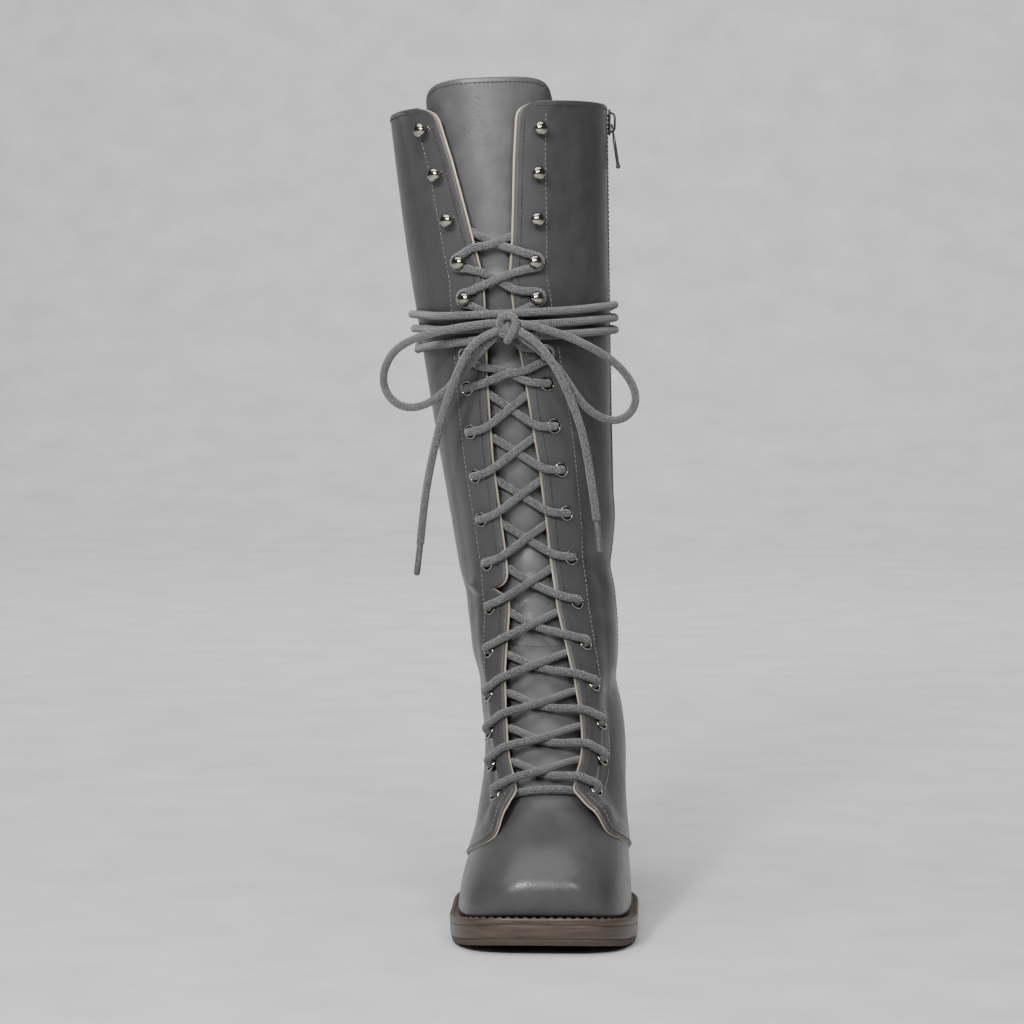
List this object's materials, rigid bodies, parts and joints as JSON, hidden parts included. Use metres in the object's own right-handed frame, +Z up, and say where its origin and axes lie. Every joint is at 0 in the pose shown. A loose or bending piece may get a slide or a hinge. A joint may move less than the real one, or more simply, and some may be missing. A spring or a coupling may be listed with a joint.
{
  "type": "lace-up knee-high boot",
  "caption": "Lace-up knee-high leather boot for the right foot, with a hollow shaft, eyestay facings, ball hooks, side zip, welted sole and low stacked heel.",
  "frame": {"origin": "middle of the boot's box in plan, on the floor, without the free lace ends", "axes": "+Z up the shaft, -Y towards the toe, +X to the inner (medial) side of the leg"},
  "size_m": [0.1365, 0.2766, 0.4305],
  "materials": {
    "leather": "satin grey",
    "facing": "matt dark grey",
    "insole": "plain",
    "sole_leather": "burnished brown edge",
    "welt": "dark brown",
    "heel": "stacked brown",
    "tread": "matt",
    "nickel": "polished",
    "zip": "dark",
    "cord": "marled grey",
    "aglet": "smooth"
  },
  "bodies": {
    "boot": {"outsole": "tread", "midsole": "sole_leather", "welt": "welt", "insole": "insole", "heel": "heel", "top_lift": "tread", "upper": "leather", "tongue": "leather", "facing_lateral": "facing", "facing_medial": "facing", "zip_chain": "zip", "zip_slider": "nickel", "eyelet_lateral_01": "nickel", "eyelet_lateral_02": "nickel", "eyelet_lateral_03": "nickel", "eyelet_lateral_04": "nickel", "eyelet_lateral_05": "nickel", "eyelet_lateral_06": "nickel", "eyelet_lateral_07": "nickel", "eyelet_lateral_08": "nickel", "eyelet_lateral_09": "nickel", "eyelet_lateral_10": "nickel", "eyelet_lateral_11": "nickel", "eyelet_medial_01": "nickel", "eyelet_medial_02": "nickel", "eyelet_medial_03": "nickel", "eyelet_medial_04": "nickel", "eyelet_medial_05": "nickel", "eyelet_medial_06": "nickel", "eyelet_medial_07": "nickel", "eyelet_medial_08": "nickel", "eyelet_medial_09": "nickel", "eyelet_medial_10": "nickel", "eyelet_medial_11": "nickel", "hook_lateral_01": "nickel", "hook_lateral_02": "nickel", "hook_lateral_03": "nickel", "hook_lateral_04": "nickel", "hook_lateral_05": "nickel", "hook_lateral_06": "nickel", "hook_medial_01": "nickel", "hook_medial_02": "nickel", "hook_medial_03": "nickel", "hook_medial_04": "nickel", "hook_medial_05": "nickel", "hook_medial_06": "nickel", "lace": "cord", "lace_wrap_long": "cord", "lace_wrap_short": "cord", "lace_knot": "cord", "lace_loop_lateral": "cord", "lace_loop_medial": "cord", "lace_end_lateral": "cord", "lace_end_medial": "cord", "aglet_lateral": "aglet", "aglet_medial": "aglet"},
    "pull": {"zip_pull": "nickel"}
  },
  "joints": [
    {"name": "pull_swing", "type": "hinge", "parent": "boot", "child": "pull", "pos_m": [0.05136, 0.0717, 0.4071], "axis": [0, -1, 0], "range_deg": [-10, 140]}
  ]
}
